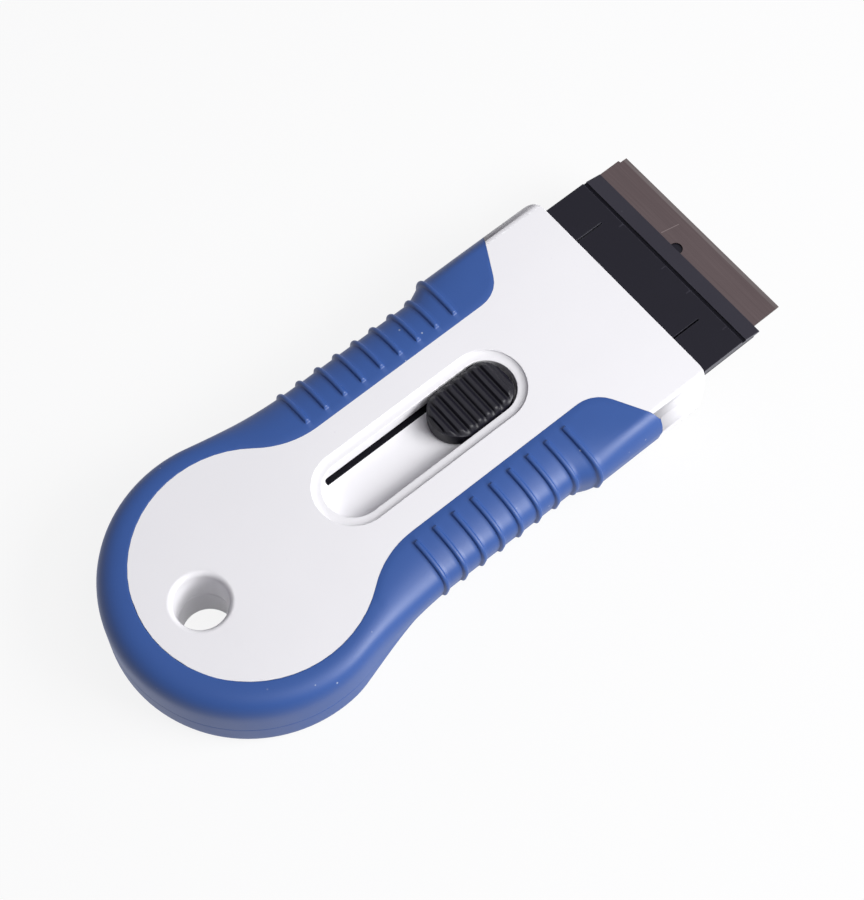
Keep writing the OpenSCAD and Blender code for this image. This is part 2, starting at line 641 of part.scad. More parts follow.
// The carriage: tongue between the rails, arms that close the slits behind it, and the blade's seat
// with a nose bevelled underneath, a flange at its sides and a shelf that goes on under the blade
seat_back = 0.9;
seat_x1 = cover_x1 - seat_back;
seat_bevel_l = 6.2;
seat_lip = 0.8;
shelf_lead = 1.8;
shelf_in = 1;
shelf_y = blade_w / 2 - shelf_in;
tongue_rear = 4;
tongue_x0 = button_x0 - tongue_rear;
arm_x0 = slit_x0 - overrun;
arm_y0 = slit_y0 - side_gap;
seat_step = 0.2;
seat_y = holder_y - seat_step;
flange_w = 1.2;
module blade_carriage() color([0.1, 0.1, 0.11]) {
    difference() {
        union() {
            block([tongue_x0, -tongue_w / 2, carriage_z0], [holder_x0 + overrun, tongue_w / 2, tongue_z1]);
            for (s = [-1, 1])
                block([arm_x0, min(s * arm_y0, s * tongue_w / 2), carriage_z0],
                      [tongue_x0 + overrun, max(s * arm_y0, s * tongue_w / 2), tongue_z1]);
            block([holder_x0, -seat_y, blade_z0 - seat_lip], [seat_x1, seat_y, blade_z0]);
            along_y(flange_w - seat_y, seat_y - flange_w) polygon([
                [holder_x0, carriage_z0], [seat_x1 - seat_bevel_l, carriage_z0],
                [seat_x1, blade_z0 - seat_lip], [seat_x1, blade_z0], [holder_x0, blade_z0]]);
            block([seat_x1 - overrun, blade_shift - shelf_y, blade_z0 - seat_lip],
                  [cover_x1 + shelf_lead, blade_shift + shelf_y, blade_z0]);
        }
        legs(seat_gap, carriage_z0 - overrun, tongue_z1 + overrun);
        block([spring_x0 - side_gap, -spring_y - side_gap, spring_z - slide_gap],
              [spring_x1 + side_gap, spring_y + side_gap, tongue_z1 + overrun]);
        block([spring_x0 + spring_root, -spring_y - side_gap, tongue_z1 - spring_pocket_d],
              [spring_x1 + side_gap, spring_y + side_gap, tongue_z1 + overrun]);
    }
    translate([stud_x, 0, carriage_z0]) cylinder(h = tongue_t, r = stud_r);
    translate([blade_holes_x[1], blade_shift, blade_z0 - overrun]) {
        cylinder(h = overrun + cover_z0 - blade_z0 + neck_h, r = neck_r);
        translate([0, 0, overrun + cover_z0 - blade_z0 + neck_h]) cylinder(h = head_h, r = head_r);
    }
}

// The cover: a bevelled lip over the blade, a nail groove, a sprung tongue and a channel for the stud
groove_back = 4.15;
groove_w = 0.75;
groove_d = 0.45;
groove_x0 = cover_x1 - groove_back;
lip_t = 0.3;
bevel_drop = 0.15;
cover_slit_y = 12.55;
cover_slit_w = 0.3;
cover_slit_end = 7;
channel_gap = 0.12;
module blade_cover() color([0.1, 0.1, 0.11]) difference() {
    along_y(-holder_y, holder_y) polygon([
        [holder_x0, cover_z0], [cover_x1, cover_z0], [cover_x1, cover_z0 + lip_t],
        [groove_x0 + groove_w, cover_z1 - bevel_drop], [groove_x0 + groove_w, cover_z1 - groove_d],
        [groove_x0, cover_z1 - groove_d], [groove_x0, cover_z1], [holder_x0, cover_z1]]);
    for (s = [-1, 1])
        block([holder_x0 - overrun, s * cover_slit_y - cover_slit_w / 2, cover_z0 - overrun],
              [cover_x1 - cover_slit_end, s * cover_slit_y + cover_slit_w / 2, cover_z1 + overrun]);
    stud_cut_x1 = blade_holes_x[1];
    for (c = [[neck_r, cover_z0 - overrun, cover_z0 + neck_h],
              [head_r, cover_z0 + neck_h - channel_gap, cover_z0 + neck_h + head_h + channel_gap]]) {
        r = c[0] + side_gap;
        translate([stud_cut_x1, blade_shift, c[1]]) cylinder(h = c[2] - c[1], r = r);
        block([holder_x0 - overrun, blade_shift - r, c[1]], [stud_cut_x1, blade_shift + r, c[2]]);
    }
}

upper_shell();
lower_shell();
upper_grip();
lower_grip();
shell_screws();
blade_carriage();
thumb_button();
latch_spring();
razor_blade();
blade_cover();
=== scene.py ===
import math

import bmesh
import bpy
from mathutils import Matrix, Vector


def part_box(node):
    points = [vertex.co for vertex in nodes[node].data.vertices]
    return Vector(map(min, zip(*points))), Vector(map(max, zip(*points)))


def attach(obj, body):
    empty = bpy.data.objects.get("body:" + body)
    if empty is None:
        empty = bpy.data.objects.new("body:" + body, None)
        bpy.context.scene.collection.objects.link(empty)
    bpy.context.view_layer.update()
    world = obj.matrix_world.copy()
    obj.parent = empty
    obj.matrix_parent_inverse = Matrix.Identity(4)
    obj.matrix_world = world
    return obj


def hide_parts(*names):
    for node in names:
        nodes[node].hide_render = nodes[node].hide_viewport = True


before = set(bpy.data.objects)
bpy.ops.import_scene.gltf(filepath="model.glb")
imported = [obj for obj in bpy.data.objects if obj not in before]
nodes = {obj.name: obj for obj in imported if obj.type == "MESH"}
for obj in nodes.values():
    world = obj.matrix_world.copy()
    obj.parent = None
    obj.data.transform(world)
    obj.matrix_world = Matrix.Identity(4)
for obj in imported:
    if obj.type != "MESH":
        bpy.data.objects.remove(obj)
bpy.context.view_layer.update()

# Lengths below are in millimetres; a finished mesh is brought to metres once
MM = 0.001
hair = 0.01
weld = 0.002
flat_angle = math.radians(0.6)


def box_mm(node):
    low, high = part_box(node)
    return low / MM, high / MM


shell_low, shell_high = box_mm("upper_shell")
grip_low, grip_high = box_mm("upper_grip")
button_low, button_high = box_mm("thumb_button")
blade_low, blade_high = box_mm("razor_blade")
cover_low, cover_high = box_mm("blade_cover")

# Handle
top_z = shell_high.z
split_z = shell_low.z
nose_x = shell_high.x
nose_y = shell_high.y
end_x = 9.5
end_r = min(end_x - grip_low.x, grip_high.y)
waist_y = 22.1
waist_r = 100.0
edge_w = 3.0
edge_h = 5.0
crown_w = 9.6
flank_in = 0.6
nose_rise = 4.0
nose_rise_l = 38.0
hole_r = 4.6
hole_seam_r = 0.3
shell_edge_r = 0.18

# Slot of the thumb button
slot_y = 5.3
slot_d = 3.5
slot_rim_w = 2.5
slot_rim_d = 1.0
slit_y0 = 4.1
slit_cover = 0.25

# Soft grips
bond_gap = 0.08
border_gap = 0.02
grip_t = 3.6
nose_skin = 1.8
grip_skin = 1.4
panel_x = 10.7
panel_r = 20.4
panel_y = 12.3
panel_blend_r = 16.8
tip_r = 6.0
tip_angle = math.radians(61)
tip_land = 0.5
tip_step = 0.1
tip_skin = 0.3
tip_end_l = 0.2
rib_count = 9
rib_pitch = 4.02
rib_half_w = 0.56
rib_h = 0.55
rib_inset = 1.5
rib_ramp = 0.55
rib_room = 1.0
rib_ahead = 0.3
rib_fillet = 2.8
rib_foot_share = 0.78
rib_fade_share = 0.18
lip_r = 0.09
lip_wall = 0.1
lip_share = 0.25
turn_share = 0.3
tip_turn_share = 0.94
crown_gap = 0.2
seam_r = 0.1
flare_l = 5.5
flare_ahead = 0.85
base_w = 6.0
base_h = 6.8
base_in = 1.2
base_end_r = 2.8

# Lengths that follow from them
rib_front_x = button_high.x + rib_ahead
slot_floor_z = top_z - slot_d
flare_x1 = rib_front_x + flare_ahead
flare_x0 = flare_x1 - flare_l
waist_x = end_x + math.sqrt((end_r - waist_y) * (end_r + waist_y + 2 * waist_r))
waist_angle = math.atan2(waist_y + waist_r, waist_x - end_x)
hollow_x = end_x + end_r * math.cos(waist_angle)
blend_x = panel_x + math.sqrt((panel_r - panel_y) * (panel_r + panel_y + 2 * panel_blend_r))
blend_angle = math.atan2(panel_y + panel_blend_r, blend_x - panel_x)
disc_end_x = panel_x + panel_r * math.cos(blend_angle)
grip_end_x = grip_high.x + bond_gap
tip_x1 = grip_end_x - tip_end_l
tip_y1 = nose_y - flank_in - tip_land
tip_y0 = panel_y + tip_r * (1 - math.cos(tip_angle))
tip_x0 = tip_x1 - (tip_y1 - tip_y0) / math.tan(tip_angle)
strip_x1 = tip_x0 - tip_r * math.sin(tip_angle)
rib_places = [rib_front_x - i * rib_pitch for i in range(rib_count)]
rib_back_x = rib_places[-1]

# Where a grip's mesh is divided, as shares of a rib, of the gap behind it, of a ramp, a flat and a flank
rib_shares = (0, 0.24, 0.48, 0.7, 0.83, 0.93, 1)
gap_shares = (0.3, 0.5, 0.7)
ramp_shares = (0, 0.15, 0.35, 0.6, 0.85, 1)
flat_shares = (0.2, 0.4, 0.6, 0.8, 1)
flank_shares = (0.3, 0.6, 0.8, 0.87, 0.92)
quarter_turn = (math.pi / 6, math.pi / 3, math.pi / 2)


def smooth(t):
    u = min(1.0, max(0.0, t))
    return u * u * (3 - 2 * u)


def spread(a, b, n):
    return [a + (b - a) * i / n for i in range(n + 1)]


def flared(x):
    return smooth((x - flare_x0) / flare_l)


def flank(x):
    """Half width of the handle's outer flank."""
    if x < hollow_x:
        return math.sqrt(end_r ** 2 - (x - end_x) ** 2)
    if x < waist_x:
        return waist_y + waist_r - math.sqrt(waist_r ** 2 - (waist_x - x) ** 2)
    return waist_y + (nose_y - waist_y) * flared(x)


def border(x):
    """Half width of the bare white face."""
    if x < disc_end_x:
        return math.sqrt(panel_r ** 2 - (x - panel_x) ** 2)
    if x < blend_x:
        return panel_y + panel_blend_r - math.sqrt(panel_blend_r ** 2 - (blend_x - x) ** 2)
    if x < strip_x1:
        return panel_y
    if x < tip_x0:
        return panel_y + tip_r - math.sqrt(tip_r ** 2 - (x - strip_x1) ** 2)
    return min(tip_y1, tip_y0 + (x - tip_x0) * math.tan(tip_angle))


def underside(x):
    return max(0.0, nose_rise * (x - nose_x + nose_rise_l) / nose_rise_l)


def rib_height(x):
    """A half-round bar on a soft fillet at each rib's place."""
    near = min(abs(x - p) for p in rib_places) / rib_half_w
    return 0.0 if near >= 1 else rib_h * math.sqrt(1 - near ** 2) * smooth(rib_fillet * (1 - near))


class Station:
    """Where a grip's section stands: foot, outward direction, widths and heights."""

    def __init__(self, foot, out, w, b, x=None):
        self.foot, self.out, self.w, self.b = Vector(foot), Vector(out), w, b
        self.rib = 0.0 if x is None else rib_height(x)
        self.base = 0.0 if x is None else underside(x)
        on = 0.0 if x is None else smooth((x - panel_x) / (blend_x - panel_x))
        off = 0.0 if x is None else flared(x)
        self.depth = grip_t + (nose_skin - grip_t) * off
        self.round_w = base_end_r + (base_w - base_end_r) * on
        self.round_h = base_end_r + (base_h - base_end_r) * on
        self.crown = 1.0 if x is None else 1 - smooth((x - flare_x0) / (tip_x0 - flare_x0))
        self.lean = flank_in * on
        self.draw = base_in * on

    def at(self, d, z):
        p = self.foot + self.out * d
        return Vector((p.x, p.y, z))


def grip_stations():
    """Round the whole grip: from the left front end, round the rear, to the right front end."""
    xs = set(spread(panel_x, rib_back_x - rib_pitch / 2, 18)[1:])
    for p in rib_places:
        xs.update(p + side * rib_half_w * s for side in (-1, 1) for s in rib_shares)
        xs.update(p - rib_pitch * s for s in gap_shares)
    xs.update(spread(rib_places[0] + rib_half_w, strip_x1, 5)[1:])
    xs.update(spread(strip_x1, tip_x0, 10))
    xs.update(spread(tip_x0, tip_x1, 8))
    xs.update(spread(tip_x1, grip_end_x - bond_gap, 3))
    arm = sorted(xs)
    e = panel_x - end_x
    turn = []
    for a in spread(90, 270, 60):
        c, s = math.cos(math.radians(a)), math.sin(math.radians(a))
        reach = math.sqrt(end_r ** 2 - (e * s) ** 2) - e * c
        turn.append(Station((panel_x, 0, 0), (c, s, 0), reach, panel_r))
    left = [Station((x, 0, 0), (0, 1, 0), flank(x), border(x), x) for x in reversed(arm)]
    right = [Station((x, 0, 0), (0, -1, 0), flank(x), border(x), x) for x in arm]
    return left + turn + right


def over_edge(d, s):
    """Height of the grip's top: a crown from the border to the flank, and a plain round on the nose."""
    wide = min(crown_w, s.w - s.b - crown_gap)
    t = min(1.0, max(0.0, (d - s.w + edge_w) / edge_w))
    u = min(1.0, max(0.0, (d - s.w + wide) / wide)) if wide > edge_w else t
    plain, crown = math.sqrt(1 - t ** 2), (1 - u ** 3) ** (1 / 3)
    return top_z - edge_h + edge_h * (plain + (crown - plain) * s.crown)


def upper_section(s):
    """From the bond line over the top, round the edge, down the flank and back inside."""
    d0 = s.b + border_gap
    arc_d = s.w - edge_w
    turn_d = max(arc_d, d0 + turn_share * (s.w - d0))
    lip = min(lip_r, lip_share * (turn_d - d0))
    points = [(d0, over_edge(d0, s) - lip - lip_wall), (d0, over_edge(d0, s) - lip)]
    points += [(d0 + lip * (1 - math.cos(a)), over_edge(d0 + lip, s) - lip * (1 - math.sin(a)))
               for a in quarter_turn]
    rib_d = rib_inset - lip
    flat = turn_d - d0 - lip
    full = s.w - edge_w - panel_y - bond_gap - lip_r if flat < rib_d + rib_ramp + rib_room else flat
    steps = [rib_d + rib_ramp * t for t in ramp_shares]
    steps += [rib_d + rib_ramp + (full - rib_d - rib_ramp) * t for t in flat_shares]
    for step in steps:
        d = d0 + lip + step * flat / full
        rise = s.rib * smooth((step - rib_d) / rib_ramp)
        points.append((d, over_edge(d, s) + rise))
    start = math.acos(min(1.0, max(0.0, (turn_d - arc_d) / edge_w)))
    for a in spread(start, 0, 12)[1:]:
        d = arc_d + edge_w * math.cos(a)
        points.append((d + s.rib * math.cos(a), over_edge(d, s) + s.rib * math.sin(a)))
    drop = top_z - edge_h - split_z
    for t in flank_shares:
        rise = s.rib * (1 - smooth((t - rib_foot_share) / rib_fade_share))
        points.append((s.w + rise - s.lean * t, split_z + drop * (1 - t)))
    foot = s.w - s.lean
    points += [(foot - seam_r * (1 - math.cos(a)), split_z + seam_r * (1 - math.sin(a)))
               for a in quarter_turn]
    inner = max(s.w - s.depth, s.b + tip_step) + bond_gap
    skin = min(top_z - grip_skin + bond_gap, over_edge(d0, s) - tip_skin)
    return points + [(inner, split_z), (inner, skin), (d0, skin)]


def lower_section(s):
    """From the parting line down the flank, round the edge, under the base and back inside."""
    w = s.w - s.draw
    arc_d = w - s.round_w
    b = min(s.b, w - tip_land)
    d0 = b + bond_gap
    end = math.acos((d0 - arc_d) / s.round_w) if d0 > arc_d else math.pi / 2
    lift = s.round_h * (1 - math.sin(end))
    points = [(w - seam_r * (1 - math.cos(a)), split_z - seam_r * (1 - math.sin(a)))
              for a in reversed(quarter_turn)]
    first_z = split_z - seam_r
    start = math.asin(max(0.0, s.round_h - first_z) / s.round_h)
    wall = max(0.0, first_z - s.round_h)
    turn = (end * tip_turn_share if d0 > arc_d else end) - start
    for share in spread(0, 1, 17):
        run = share * (wall + turn * s.round_h)
        a = start + max(0.0, run - wall) / s.round_h
        z = first_z - run if run < wall else s.round_h * (1 - math.sin(a))
        points.append((arc_d + s.round_w * math.cos(a), max(s.base, z)))
    inner = max(s.w - s.depth - base_in, b + tip_step) + bond_gap
    skin = max(s.base + grip_skin - bond_gap, lift + tip_skin)
    return points + [(d0, max(s.base, lift)), (d0, skin), (inner, skin), (inner, split_z)]


def loft(section):
    """Draws a section's wire along the stations of the grip and caps both ends."""
    stations = grip_stations()
    bm = bmesh.new()
    place = bm.verts.layers.int.new("place")
    wire = section(stations[0])
    verts = [bm.verts.new(stations[0].at(*q)) for q in wire]
    for i, v in enumerate(verts):
        v[place] = i
    edges = [bm.edges.new((verts[i - 1], verts[i])) for i in range(len(verts))]
    for s in stations[1:]:
        wire = section(s)
        grown = bmesh.ops.extrude_edge_only(bm, edges=edges)["geom"]
        edges = [g for g in grown if isinstance(g, bmesh.types.BMEdge)]
        for v in grown:
            if isinstance(v, bmesh.types.BMVert):
                v.co = s.at(*wire[v[place]])
    bmesh.ops.holes_fill(bm, edges=[e for e in bm.edges if e.is_boundary], sides=0)
    return bm


def merged_copy(node):
    """A node's mesh as one closed skin in millimetres, with its flat faces whole."""
    bm = bmesh.new()
    bm.from_mesh(nodes[node].data)
    bmesh.ops.scale(bm, vec=(1 / MM,) * 3, verts=bm.verts)
    bmesh.ops.remove_doubles(bm, verts=bm.verts, dist=weld)
    bmesh.ops.dissolve_limit(bm, angle_limit=flat_angle, verts=bm.verts, edges=bm.edges)
    return bm


def soften(bm, size, segments, wanted, sharp=30):
    """Rounds the sharp edges that are wanted."""
    least = math.radians(sharp)
    chosen = [e for e in bm.edges if e.is_manifold and e.calc_face_angle(0) > least and wanted(e)]
    bmesh.ops.bevel(bm, geom=chosen, offset=size, offset_type="OFFSET", segments=segments, profile=0.5,
                    affect="EDGES", clamp_overlap=True, material=-1)


def piece(name, bm, body, materials, stands_for, from_cad=False, sharp=38):
    """A finished mesh in metres that rides on its body. One made from a node has its flats lit evenly."""
    if not from_cad:
        bmesh.ops.recalc_face_normals(bm, faces=bm.faces)
    bmesh.ops.scale(bm, vec=(MM,) * 3, verts=bm.verts)
    mesh = bpy.data.meshes.new(name)
    bm.to_mesh(mesh)
    bm.free()
    mesh.shade_smooth()
    mesh.set_sharp_from_angle(angle=math.radians(sharp))
    obj = bpy.data.objects.new(name, mesh)
    bpy.context.scene.collection.objects.link(obj)
    for material in materials:
        mesh.materials.append(material)
    if from_cad:
        obj.modifiers.new("even shading", "WEIGHTED_NORMAL").keep_sharp = True
    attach(obj, body)
    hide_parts(stands_for)


# Finishes
wear_w = 0.3
grain_d = 0.04
hairline_d = 0.02
scratch_colour = (0.3, 0.25, 0.25, 1)
scratch_strength = 0.7


def new_group(name, inputs, outputs):
    tree = bpy.data.node_groups.new(name, "ShaderNodeTree")
    for label, kind, value in inputs:
        socket = tree.interface.new_socket(label, in_out="INPUT", socket_type=kind)
        socket.default_value = value
    for label, kind in outputs:
        tree.interface.new_socket(label, in_out="OUTPUT", socket_type=kind)
    return tree, tree.nodes.new("NodeGroupInput"), tree.nodes.new("NodeGroupOutput")


def add(tree, kind, values=None, **settings):
    node = tree.nodes.new(kind)
    for key, value in settings.items():
        setattr(node, key, value)
    for key, value in (values or {}).items():
        node.inputs[key].default_value = value
    return node


def math_node(tree, operation, a, b, clamp=False):
    node = add(tree, "ShaderNodeMath", operation=operation, use_clamp=clamp)
    for i, v in enumerate((a, b)):
        if isinstance(v, (int, float)):
            node.inputs[i].default_value = v
        else:
            tree.links.new(v, node.inputs[i])
    return node.outputs[0]


def ramp(tree, value, low, high, to_low=0.0, to_high=1.0):
    node = add(tree, "ShaderNodeMapRange", {
        "From Min": low, "From Max": high, "To Min": to_low, "To Max": to_high})
    tree.links.new(value, node.inputs["Value"])
    return node.outputs["Result"]


def mix_colour(tree, share, a, b):
    node = add(tree, "ShaderNodeMix", data_type="RGBA")
    tree.links.new(share, node.inputs["Factor"])
    for key, v in (("A", a), ("B", b)):
        socket = [s for s in node.inputs if s.name == key and s.type == "RGBA"][0]
        if isinstance(v, tuple):
            socket.default_value = v
        else:
            tree.links.new(v, socket)
    return [s for s in node.outputs if s.type == "RGBA"][0]


def make_moulded_grain():
    """Fine skin of a moulded surface: a height, a cloudy mask and sparse dust specks."""
    tree, given, out = new_group("moulded grain", [
        ("Grain Scale", "NodeSocketFloat", 2500.0), ("Cloud Scale", "NodeSocketFloat", 60.0),
        ("Speck Scale", "NodeSocketFloat", 350.0), ("Speck Size", "NodeSocketFloat", 0.08)],
        [("Height", "NodeSocketFloat"), ("Cloud", "NodeSocketFloat"), ("Specks", "NodeSocketFloat")])
    place = add(tree, "ShaderNodeTexCoord").outputs["Object"]
    grain = add(tree, "ShaderNodeTexNoise", {"Detail": 3.0, "Roughness": 0.6})
    cloud = add(tree, "ShaderNodeTexNoise", {"Detail": 4.0, "Roughness": 0.55})
    speck = add(tree, "ShaderNodeTexVoronoi", {"Randomness": 1.0})
    thin = add(tree, "ShaderNodeTexNoise", {"Detail": 1.0})
    for n, s in ((grain, "Grain Scale"), (cloud, "Cloud Scale"),
                 (speck, "Speck Scale"), (thin, "Cloud Scale")):
        tree.links.new(place, n.inputs["Vector"])
        tree.links.new(given.outputs[s], n.inputs["Scale"])
    tree.links.new(grain.outputs[0], out.inputs["Height"])
    tree.links.new(ramp(tree, cloud.outputs[0], 0.35, 0.65), out.inputs["Cloud"])
    near = math_node(tree, "SUBTRACT", given.outputs["Speck Size"], speck.outputs["Distance"])
    spots = math_node(tree, "MULTIPLY", near, 18.0, clamp=True)
    patchy = ramp(tree, thin.outputs[0], 0.48, 0.66)
    tree.links.new(math_node(tree, "MULTIPLY", spots, patchy), out.inputs["Specks"])
    return tree


def make_edge_wear():
    """A mask of the edges, broken up by noise."""
    tree, given, out = new_group("edge wear", [("Scale", "NodeSocketFloat", 400.0)],
                                 [("Wear", "NodeSocketFloat")])
    shape = add(tree, "ShaderNodeNewGeometry")
    noise = add(tree, "ShaderNodeTexNoise", {"Detail": 3.0})
    tree.links.new(add(tree, "ShaderNodeTexCoord").outputs["Object"], noise.inputs["Vector"])
    tree.links.new(given.outputs["Scale"], noise.inputs["Scale"])
    rounded = add(tree, "ShaderNodeBevel", {"Radius": wear_w * MM}, samples=4)
    turned = add(tree, "ShaderNodeVectorMath", operation="DOT_PRODUCT")
    tree.links.new(shape.outputs["Normal"], turned.inputs[0])
    tree.links.new(rounded.outputs[0], turned.inputs[1])
    edge = ramp(tree, turned.outputs["Value"], 0.985, 0.85)
    broken = ramp(tree, noise.outputs[0], 0.35, 0.7)
    tree.links.new(math_node(tree, "MULTIPLY", edge, broken), out.inputs["Wear"])
    return tree


def make_fine_scratches():
    """Hairlines of grinding along one direction."""
    tree, given, out = new_group("fine scratches", [
        ("Along", "NodeSocketFloat", 60.0), ("Across", "NodeSocketFloat", 9000.0)],
        [("Lines", "NodeSocketFloat")])
    place = add(tree, "ShaderNodeTexCoord").outputs["Object"]
    size = add(tree, "ShaderNodeCombineXYZ")
    tree.links.new(given.outputs["Across"], size.inputs["X"])
    tree.links.new(given.outputs["Along"], size.inputs["Y"])
    tree.links.new(given.outputs["Along"], size.inputs["Z"])
    stretched = add(tree, "ShaderNodeVectorMath", operation="MULTIPLY")
    tree.links.new(place, stretched.inputs[0])
    tree.links.new(size.outputs[0], stretched.inputs[1])
    lines = add(tree, "ShaderNodeTexNoise", {"Scale": 1.0, "Detail": 4.0, "Roughness": 0.6})
    tree.links.new(stretched.outputs[0], lines.inputs["Vector"])
    tree.links.new(lines.outputs[0], out.inputs["Lines"])
    return tree


def make_long_scratch():
    """One slanted scratch across the blade, between two places along X."""
    tree, given, out = new_group("long scratch", [
        ("From X", "NodeSocketFloat", 0.0), ("To X", "NodeSocketFloat", 0.0),
        ("At Y", "NodeSocketFloat", 0.0), ("Slant", "NodeSocketFloat", 0.0),
        ("Width", "NodeSocketFloat", 0.0001)], [("Scratch", "NodeSocketFloat")])
    place = add(tree, "ShaderNodeSeparateXYZ")
    tree.links.new(add(tree, "ShaderNodeTexCoord").outputs["Object"], place.inputs[0])
    along = math_node(tree, "SUBTRACT", place.outputs["X"], given.outputs["From X"])
    slanted = math_node(tree, "MULTIPLY", along, given.outputs["Slant"])
    line = math_node(tree, "ADD", given.outputs["At Y"], slanted)
    off = math_node(tree, "ABSOLUTE", math_node(tree, "SUBTRACT", place.outputs["Y"], line), 0.0)
    away = math_node(tree, "DIVIDE", off, given.outputs["Width"])
    near = math_node(tree, "SUBTRACT", 1.0, away, clamp=True)
    within = math_node(tree, "MULTIPLY", math_node(tree, "GREATER_THAN", along, 0.0),
                       math_node(tree, "LESS_THAN", place.outputs["X"], given.outputs["To X"]))
    tree.links.new(math_node(tree, "MULTIPLY", near, within), out.inputs["Scratch"])
    return tree


def seen_directly(tree):
    """One for the rays that show the background: from the camera, or by reflection or through glass."""
    rays = add(tree, "ShaderNodeLightPath").outputs
    seen = math_node(tree, "MAXIMUM", rays["Is Camera Ray"], rays["Is Glossy Ray"])
    return math_node(tree, "MAXIMUM", seen, rays["Is Transmission Ray"])


moulded_grain = make_moulded_grain()
edge_wear = make_edge_wear()
fine_scratches = make_fine_scratches()
long_scratch = make_long_scratch()


def new_finish(name, **constants):
    material = bpy.data.materials.new(name)
    material.use_nodes = True
    tree = material.node_tree
    skin = tree.nodes["Principled BSDF"]
    for key, value in constants.items():
        skin.inputs[key.replace("_", " ")].default_value = value
    return material, tree, skin


def effect(tree, group, **values):
    node = tree.nodes.new("ShaderNodeGroup")
    node.node_tree = group
    for key, value in values.items():
        node.inputs[key.replace("_", " ")].default_value = value
    return node


def bumped(tree, skin, height, strength, distance):
    bump = add(tree, "ShaderNodeBump", {"Strength": strength, "Distance": distance})
    tree.links.new(height, bump.inputs["Height"])
    tree.links.new(bump.outputs[0], skin.inputs["Normal"])


def moulded(name, deep, light, dust, rough, gloss, grain, bump, specks, worn, wear=0.35):
    """A moulded plastic or rubber: cloudy colour, dust specks, worn edges and a fine skin."""
    material, tree, skin = new_finish(name, Specular_IOR_Level=gloss)
    skin_grain = effect(tree, moulded_grain, Grain_Scale=grain, Speck_Size=specks)
    rubbed = effect(tree, edge_wear)
    colour = mix_colour(tree, skin_grain.outputs["Cloud"], deep, light)
    colour = mix_colour(tree, math_node(tree, "MULTIPLY", rubbed.outputs["Wear"], wear), colour, worn)
    colour = mix_colour(tree, skin_grain.outputs["Specks"], colour, dust)
    tree.links.new(colour, skin.inputs["Base Color"])
    cloudy = ramp(tree, skin_grain.outputs["Cloud"], 0, 1, *rough)
    tree.links.new(cloudy, skin.inputs["Roughness"])
    bumped(tree, skin, skin_grain.outputs["Height"], bump, grain_d * MM)
    return material


white_plastic = moulded(
    "satin white plastic", deep=(0.838, 0.832, 0.858, 1), light=(0.848, 0.842, 0.868, 1),
    dust=(0.7, 0.68, 0.74, 1), rough=(0.38, 0.46), gloss=0.4, grain=2600, bump=0.1, specks=0.05,
    worn=(0.95, 0.95, 0.97, 1))
blue_rubber = moulded(
    "soft blue rubber", deep=(0.013, 0.064, 0.262, 1), light=(0.015, 0.069, 0.275, 1),
    dust=(0.45, 0.5, 0.62, 1), rough=(0.43, 0.49), gloss=0.6, grain=3200, bump=0.18, specks=0.075,
    worn=(0.07, 0.15, 0.42, 1))
black_holder = moulded(
    "grained black plastic", deep=(0.0056, 0.005, 0.0105, 1), light=(0.0061, 0.0055, 0.0113, 1),
    dust=(0.2, 0.2, 0.24, 1), rough=(0.44, 0.46), gloss=0.18, grain=3600, bump=0.2, specks=0.045,
    worn=(0.09, 0.09, 0.12, 1))
# Darker black for the groove's faces: painted shade in the groove
painted_shade_black = moulded(
    "black plastic with painted groove shade", deep=(0.0032, 0.003, 0.006, 1), light=(0.0038, 0.0035, 0.007, 1),
    dust=(0.1, 0.1, 0.12, 1), rough=(0.6, 0.7), gloss=0.09, grain=3600, bump=0.2, specks=0.045,
    worn=(0.03, 0.03, 0.04, 1))
# Lighter black for the bevelled lip and the ticks: a painted sheen
painted_sheen_black = moulded(
    "black plastic with a painted sheen", deep=(0.019, 0.0175, 0.027, 1), light=(0.021, 0.0195, 0.029, 1),
    dust=(0.2, 0.2, 0.24, 1), rough=(0.42, 0.45), gloss=0.18, grain=3600, bump=0.2, specks=0.045,
    worn=(0.1, 0.1, 0.13, 1))
# Lighter black for the left slit's walls and the cover's sides: painted light where light falls on them
painted_light_black = moulded(
    "black plastic with painted light", deep=(0.07, 0.07, 0.085, 1), light=(0.1, 0.1, 0.12, 1),
    dust=(0.3, 0.3, 0.34, 1), rough=(0.4, 0.5), gloss=0.3, grain=3600, bump=0.2, specks=0.045,
    worn=(0.2, 0.2, 0.24, 1))
black_button = moulded(
    "smooth black plastic", deep=(0.0062, 0.0057, 0.0108, 1), light=(0.0072, 0.0067, 0.012, 1),
    dust=(0.2, 0.2, 0.23, 1), rough=(0.38, 0.44), gloss=0.3, grain=3000, bump=0.12, specks=0.045,
    worn=(0.06, 0.06, 0.075, 1))


def steel(name, dark, light, rough, across, strength, scratch=None):
    """Ground or rolled metal with hairlines, and one long scratch where its place is given."""
    material, tree, skin = new_finish(name, Metallic=1.0)
    marks = effect(tree, fine_scratches, Across=across)
    colour = mix_colour(tree, ramp(tree, marks.outputs["Lines"], 0.3, 0.7), dark, light)
    if scratch:
        mark = effect(tree, long_scratch, **scratch)
        share = math_node(tree, "MULTIPLY", mark.outputs["Scratch"], scratch_strength)
        colour = mix_colour(tree, share, colour, scratch_colour)
    tree.links.new(colour, skin.inputs["Base Color"])
    tree.links.new(ramp(tree, marks.outputs["Lines"], 0.3, 0.7, *rough), skin.inputs["Roughness"])
    bumped(tree, skin, marks.outputs["Lines"], strength, hairline_d * MM)
    return material


